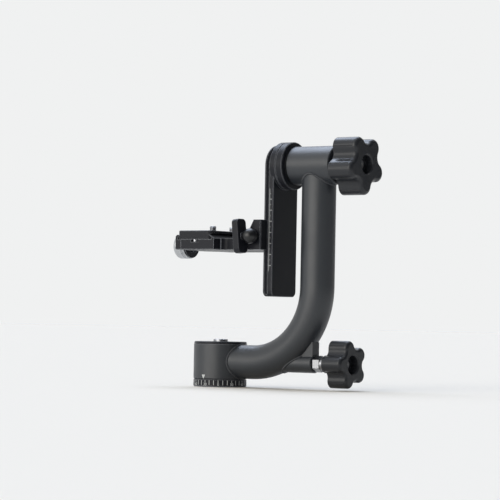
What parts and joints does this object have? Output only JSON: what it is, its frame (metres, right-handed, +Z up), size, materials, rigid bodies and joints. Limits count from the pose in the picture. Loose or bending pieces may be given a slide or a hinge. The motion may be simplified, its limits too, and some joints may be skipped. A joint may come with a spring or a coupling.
{
  "type": "gimbal tripod head",
  "caption": "Side-tube gimbal head: bent arm turning on a pan base, swinging dovetail rail, sliding platform with lens plate clamp and star lock knobs.",
  "frame": {"origin": "middle of the bottom face of the base, at the mouth of the tripod thread, on the pan axis", "axes": "+Z up along the pan axis; +X along the lower run of the arm, which is also the way the tilt axis runs, towards the tilt knob; the lens looks along -Y"},
  "size_m": [0.2094, 0.088, 0.2261],
  "materials": {
    "powder_coat": "fine-textured black powder coat",
    "black_anodised": "satin black anodised",
    "moulded_black": "moulded glass-filled nylon",
    "gloss_black": "polished phenolic",
    "bright_steel": "bright plated steel",
    "turned_steel": "turned steel",
    "bronze": "sintered bronze",
    "dark_nylon": "dark nylon",
    "pale_aluminium": "satin clear anodised"
  },
  "bodies": {
    "root": {"base_plate": "black_anodised", "dial_ring": "black_anodised", "axle_washer": "turned_steel", "axle_bolt": "bright_steel"},
    "yoke": {"pan_housing": "powder_coat", "pan_bushes": "bronze", "thrust_washer": "dark_nylon", "housing_cap": "black_anodised", "arm_tube": "powder_coat", "lock_tube": "powder_coat", "lock_insert": "turned_steel", "gusset_web": "powder_coat", "tilt_tube": "powder_coat", "bearing_outer_rings": "bright_steel", "bearing_balls": "bright_steel", "end_cap": "turned_steel"},
    "pan_pad": {"pan_brake_pad": "dark_nylon"},
    "pan_grip": {"pan_knob": "moulded_black", "pan_lock_rod": "bright_steel", "pan_lock_nut": "bright_steel"},
    "swing": {"swing_rail": "black_anodised", "tilt_flange": "black_anodised", "tilt_spindle": "turned_steel", "tilt_washer": "dark_nylon", "bearing_inner_rings": "bright_steel", "spindle_nut": "turned_steel", "spindle_bolt": "bright_steel", "rail_screws": "bright_steel"},
    "tilt_pad": {"tilt_brake_pad": "dark_nylon"},
    "tilt_grip": {"tilt_knob": "moulded_black", "tilt_lock_screw": "bright_steel"},
    "carriage": {"platform_bracket": "black_anodised", "rail_guide_pins": "turned_steel", "clamp_base": "black_anodised", "bracket_screws": "turned_steel", "clamp_guide_pins": "turned_steel"},
    "rail_grip": {"rail_jaw": "black_anodised"},
    "rail_lever": {"lever_ball": "gloss_black", "lever_paddle": "black_anodised", "rail_clamp_screw": "turned_steel"},
    "plate_grip": {"clamp_jaw": "black_anodised"},
    "plate_knob": {"clamp_knob": "pale_aluminium", "knob_collar": "black_anodised", "lens_clamp_screw": "turned_steel"},
    "plate": {"lens_plate": "black_anodised", "stop_screws": "bright_steel"},
    "front_screw": {"lens_screw_front": "bright_steel"},
    "rear_screw": {"lens_screw_rear": "bright_steel"}
  },
  "joints": [
    {"name": "pan", "type": "hinge", "parent": "root", "child": "yoke", "pos_m": [0, 0, 0], "axis": [0, 0, 1], "continuous": true},
    {"name": "pan_pad_travel", "type": "slide", "parent": "yoke", "child": "pan_pad", "axis": [1, 0, 0], "range_m": [-0.00024, 0.00062]},
    {"name": "pan_knob_turn", "type": "hinge", "parent": "pan_pad", "child": "pan_grip", "pos_m": [0.137, 0, 0.0234], "axis": [1, 0, 0], "range_deg": [-72, 180]},
    {"name": "tilt", "type": "hinge", "parent": "yoke", "child": "swing", "pos_m": [0.0656, 0, 0.202], "axis": [1, 0, 0], "continuous": true},
    {"name": "tilt_pad_travel", "type": "slide", "parent": "yoke", "child": "tilt_pad", "axis": [1, 0, 0], "range_m": [-0.00024, 0.00074]},
    {"name": "tilt_knob_turn", "type": "hinge", "parent": "tilt_pad", "child": "tilt_grip", "pos_m": [0.146, 0, 0.202], "axis": [1, 0, 0], "range_deg": [-60, 180]},
    {"name": "carriage_height", "type": "slide", "parent": "swing", "child": "carriage", "axis": [0, 0, 1], "range_m": [-0.03, 0.03]},
    {"name": "rail_lever_turn", "type": "hinge", "parent": "carriage", "child": "rail_lever", "pos_m": [0.056, -0.034, 0.1374], "axis": [0, 1, 0], "range_deg": [-360, 100]},
    {"name": "rail_jaw_travel", "type": "slide", "parent": "carriage", "child": "rail_grip", "axis": [0, 1, 0], "range_m": [-0.00024, 0.00082]},
    {"name": "plate_jaw_travel", "type": "slide", "parent": "carriage", "child": "plate_grip", "axis": [1, 0, 0], "range_m": [-0.00148, 0.00024]},
    {"name": "plate_knob_turn", "type": "hinge", "parent": "plate_grip", "child": "plate_knob", "pos_m": [-0.043, 0, 0.1298], "axis": [1, 0, 0], "range_deg": [-540, 90]},
    {"name": "plate_travel", "type": "slide", "parent": "carriage", "child": "plate", "axis": [0, 1, 0], "range_m": [-0.0075, 0.0075]},
    {"name": "front_screw_travel", "type": "slide", "parent": "plate", "child": "front_screw", "axis": [0, 1, 0], "range_m": [-0.011, 0.0085]},
    {"name": "rear_screw_travel", "type": "slide", "parent": "plate", "child": "rear_screw", "axis": [0, 1, 0], "range_m": [-0.0085, 0.011]}
  ],
  "couplings": [
    {"joint": "pan_knob_turn", "follows": "pan_pad_travel", "rad_per_m": 5026.5},
    {"joint": "tilt_knob_turn", "follows": "tilt_pad_travel", "rad_per_m": 4188.8},
    {"joint": "rail_jaw_travel", "follows": "rail_lever_turn", "m_per_rad": -0.00012732},
    {"joint": "plate_knob_turn", "follows": "plate_jaw_travel", "rad_per_m": 6283.2}
  ]
}
